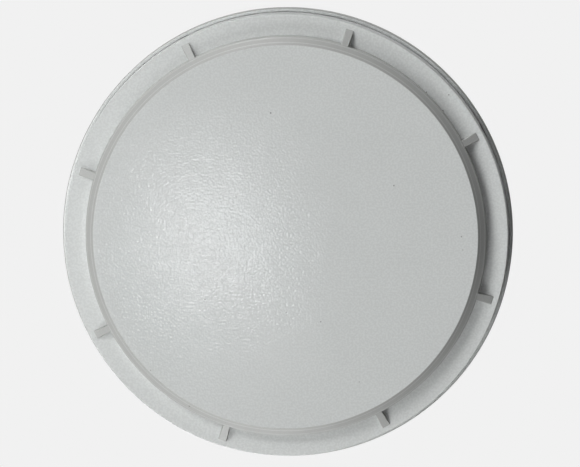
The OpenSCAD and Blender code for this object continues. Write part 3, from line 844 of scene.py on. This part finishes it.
def red_liquid():
    """Red spirit in the bulb, slightly deeper in places."""
    liquid = Finish("red_liquid", Transmission_Weight=1.0, IOR=1.36)
    cloud = liquid.effect("stains", "Mask", Size=3.0)
    colour = liquid.blend(cloud, (0.75, 0.02, 0.015, 1), (0.55, 0.008, 0.01, 1))
    liquid.set(Base_Color=colour, Roughness=cloud * 0.04 + 0.02)
    return liquid.material


def seal_film():
    """Waxy white film that seals the seat."""
    film = Finish("seal_film")
    cloud = film.effect("stains", "Mask", Size=2.0)
    colour = film.blend(cloud, tone(232, 231, 224), tone(214, 213, 205))
    film.set(Base_Color=colour, Roughness=cloud * 0.2 + 0.4)
    film.set(Normal=film.bump(film.effect("peel", "Height", Size=0.3), 0.01))
    return film.material


FINISHES = {
    "white_paint": white_paint(
        "white_paint", (209, 212, 211), (217, 220, 219), roughness=0.06, gloss=0.5, peel_depth=0.0112),
    # Painted light: the trim ring's coat is paler than the cover's, to lift its rim that lies in the cover's shade
    "trim_paint": white_paint(
        "trim_paint", (233, 236, 235), (233, 236, 235), roughness=0.30, gloss=0.3, peel_depth=0.04),
    "cast_brass": metal("cast_brass", tone(214, 190, 136), tone(166, 138, 86), 0.30, turned=0.012),
    "plated_steel": metal("plated_steel", tone(190, 192, 194), tone(146, 149, 152), 0.34, turned=0.006),
    "bronze": metal("bronze", tone(198, 158, 92), tone(122, 88, 48), 0.36, cast=0.03),
    "stainless": metal("stainless", tone(200, 201, 203), tone(150, 151, 154), 0.22, turned=0.004, patch=3.0),
    "copper_alloy": metal("copper_alloy", tone(214, 142, 104), tone(142, 84, 58), 0.3, cast=0.008),
    "solder": metal("solder", tone(176, 178, 182), tone(128, 130, 136), 0.4, cast=0.03, patch=2.0),
    "bulb_glass": clear_glass(),
    "red_liquid": red_liquid(),
    "seal_film": seal_film(),
}

NODE_FINISH = {
    "lock_washer": "plated_steel", "yoke": "bronze", "guide_bushes": "cast_brass", "load_screw": "cast_brass",
    "glass_bulb": "bulb_glass", "bulb_liquid": "red_liquid", "pip_cap": "copper_alloy", "seal_spring": "stainless",
    "seal_film": "seal_film", "deflector": "copper_alloy", "guide_pins": "stainless", "stop_clips": "stainless",
    "retainer_collar": "plated_steel", "ejection_springs": "stainless", "collar_rivets": "plated_steel",
    "solder_pads": "solder",
}

make_cover(FINISHES["white_paint"])
make_trim_ring(FINISHES["trim_paint"])
make_inlet(FINISHES["cast_brass"])
make_cup(FINISHES["plated_steel"])
for node, finish in NODE_FINISH.items():
    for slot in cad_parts[node].material_slots:
        slot.material = FINISHES[finish]


# Stage

# View: distance in metres, tilt off the axis and the side it leans to, with the scale at the face of the disc
VIEW_DISTANCE = 1.2
VIEW_TILT = 6.5
VIEW_SIDE = (0.44, -0.90, 0)
VIEW_TARGET = (0.90, -0.73, FLANGE_FRONT - DISC_PROUD)
PIXELS_PER_MM = 5.4014
PICTURE_W = 580
SENSOR_W = 36.0

# Heights on the unit sphere of the surroundings between which one tone turns into the next
DIM_FROM = (0.0, 0.3)
DIM_TO = (0.974, 0.983)
ZENITH_FROM = (0.6, 0.85)


def aimed(place, target, up):
    """Pose at a place whose -Z looks at a target and whose Y is the side towards up."""
    back = (Vector(place) - Vector(target)).normalized()
    right = Vector(up).cross(back).normalized()
    turned = Matrix((right, back.cross(right), back)).transposed().to_4x4()
    turned.translation = place
    return turned


def add_lamp(name, place, target, size, power, colour=(1, 1, 1), up=(0.1, -1, 0.2)):
    """Soft rectangular lamp at a place in metres, turned to a target and not seen by the camera."""
    light = bpy.data.lights.new(name, "AREA")
    light.shape = "RECTANGLE"
    light.size, light.size_y = size
    light.energy = power
    light.color = colour
    lamp = bpy.data.objects.new(name, light)
    lamp.matrix_world = aimed(place, target, up)
    lamp.visible_camera = False
    bpy.context.scene.collection.objects.link(lamp)


def pale_share(tree):
    """1 for rays that should see the pale surroundings, 0 for rays that light the object."""
    path = tree.nodes.new("ShaderNodeLightPath")
    seen = Term(tree, path.outputs["Is Camera Ray"])
    for label in ("Is Glossy Ray", "Is Transmission Ray"):
        seen = seen.do("MAXIMUM", Term(tree, path.outputs[label]))
    return seen


def make_world(backdrop, overhead, ambient, zenith):
    """Studio that is pale low down and straight above, dimmer between, and lights the object softly from the top."""
    world = bpy.data.worlds.new("studio")
    bpy.context.scene.world = world
    world.use_nodes = True
    tree = world.node_tree
    tree.nodes.clear()
    way = add_node(tree, "ShaderNodeTexCoord").outputs["Generated"]
    height = Term(tree, add_node(tree, "ShaderNodeSeparateXYZ", Vector=way).outputs[2])
    raised = height.ramp(*DIM_FROM) * (1.0 - height.ramp(*DIM_TO))
    shown = add_node(tree, "ShaderNodeBackground", Color=mixed(tree, raised, backdrop, overhead))
    dim = add_node(tree, "ShaderNodeBackground", Color=mixed(tree, height.ramp(*ZENITH_FROM), ambient, zenith))
    mix = tree.nodes.new("ShaderNodeMixShader")
    feed(tree, mix.inputs[0], pale_share(tree))
    tree.links.new(dim.outputs[0], mix.inputs[1])
    tree.links.new(shown.outputs[0], mix.inputs[2])
    out = tree.nodes.new("ShaderNodeOutputWorld")
    tree.links.new(mix.outputs[0], out.inputs["Surface"])


def make_floor(height, reach, glow, pale, bounce):
    """Round pale floor; it throws back less light than it shows, so that it doesn't flood the cover."""
    angles = np.arange(0, 360, 5)
    corners = ring_corners([(0, height / MM), (reach / MM, height / MM)], angles)
    faces = ring_faces(2, len(angles), {0}, False)
    mesh = bpy.data.meshes.new("floor")
    mesh.from_pydata((corners * MM).tolist(), [], [[int(i) for i in face] for face in faces])
    floor = bpy.data.objects.new("floor", mesh)
    bpy.context.scene.collection.objects.link(floor)
    material = bpy.data.materials.new("floor_paper")
    material.use_nodes = True
    tree = material.node_tree
    tree.nodes.clear()
    lit = add_node(tree, "ShaderNodeBsdfDiffuse", Color=pale)
    lift = add_node(tree, "ShaderNodeEmission", Color=glow)
    shown = tree.nodes.new("ShaderNodeAddShader")
    tree.links.new(lit.outputs[0], shown.inputs[0])
    tree.links.new(lift.outputs[0], shown.inputs[1])
    dull = add_node(tree, "ShaderNodeBsdfDiffuse", Color=bounce)
    mix = tree.nodes.new("ShaderNodeMixShader")
    feed(tree, mix.inputs[0], pale_share(tree))
    tree.links.new(dull.outputs[0], mix.inputs[1])
    tree.links.new(shown.outputs[0], mix.inputs[2])
    out = tree.nodes.new("ShaderNodeOutputMaterial")
    tree.links.new(mix.outputs[0], out.inputs["Surface"])
    mesh.materials.append(material)


def make_camera():
    """Looks up at the cover from a little to one side of its axis, with image up along -Y."""
    tilt = math.radians(VIEW_TILT)
    side = Vector(VIEW_SIDE).normalized()
    target = Vector(VIEW_TARGET) * MM
    place = target + VIEW_DISTANCE * (side * math.sin(tilt) - Vector((0, 0, math.cos(tilt))))
    data = bpy.data.cameras.new("view")
    data.sensor_width = SENSOR_W
    data.lens = PIXELS_PER_MM / MM * VIEW_DISTANCE * SENSOR_W / PICTURE_W
    camera = bpy.data.objects.new("view", data)
    camera.matrix_world = aimed(place, target, (0, -1, 0))
    bpy.context.scene.collection.objects.link(camera)
    bpy.context.scene.camera = camera


def make_lights():
    """Lamps to the left of the cover, low ones round its rim, two small ones for the glow and two for the body."""
    face = (0, 0, (FLANGE_FRONT - DISC_PROUD) * MM)
    body = (0, 0, -0.02)
    add_lamp("front_left", (-0.38, 0.10, -0.87), face, (0.22, 0.22), 0.5, (0.985, 0.995, 1.0))
    add_lamp("key_left", (-0.63, 0.055, -0.63), face, (0.30, 0.30), 1.6, (1.0, 0.998, 0.98))
    add_lamp("high_left", (-0.47, -0.47, -0.58), face, (0.30, 0.30), 3.3)
    add_lamp("low_left", (-0.24, 0.66, -0.54), face, (0.30, 0.30), 2.65)
    add_lamp("rim_high", (-0.22, -0.87, -0.155), face, (0.50, 0.16), 3.7)
    add_lamp("rim_low", (-0.12, 0.89, -0.155), face, (0.50, 0.16), 3.1)
    add_lamp("rim_right", (0.87, -0.23, -0.11), face, (0.40, 0.14), 0.42)
    add_lamp(
        "glint_panel", (-0.0485, 0.0586, -0.60), face, (0.022, 0.06), 0.012, (0.98, 0.99, 1.0), up=(-0.29, -1, 0))
    add_lamp("glint_spot", (-0.049, 0.0566, -0.60), face, (0.02, 0.02), 0.0145, (0.97, 0.985, 1.0))
    add_lamp("side_right", (0.80, -0.70, 0.70), body, (0.9, 0.9), 2.0)
    add_lamp("side_back", (-0.80, 0.75, 0.55), body, (0.9, 0.9), 3.0)


def grey(level):
    """Grey of a linear level, with alpha."""
    return (level, level, level, 1)


bpy.context.scene.view_settings.view_transform = "Standard"
make_world(
    backdrop=grey(0.8796), overhead=(0.20, 0.205, 0.21, 1), ambient=(0.03, 0.031, 0.033, 1), zenith=grey(0.9))
make_floor(height=-1.6, reach=5.0, glow=grey(0.51), pale=grey(0.80), bounce=grey(0.06))
make_camera()
make_lights()
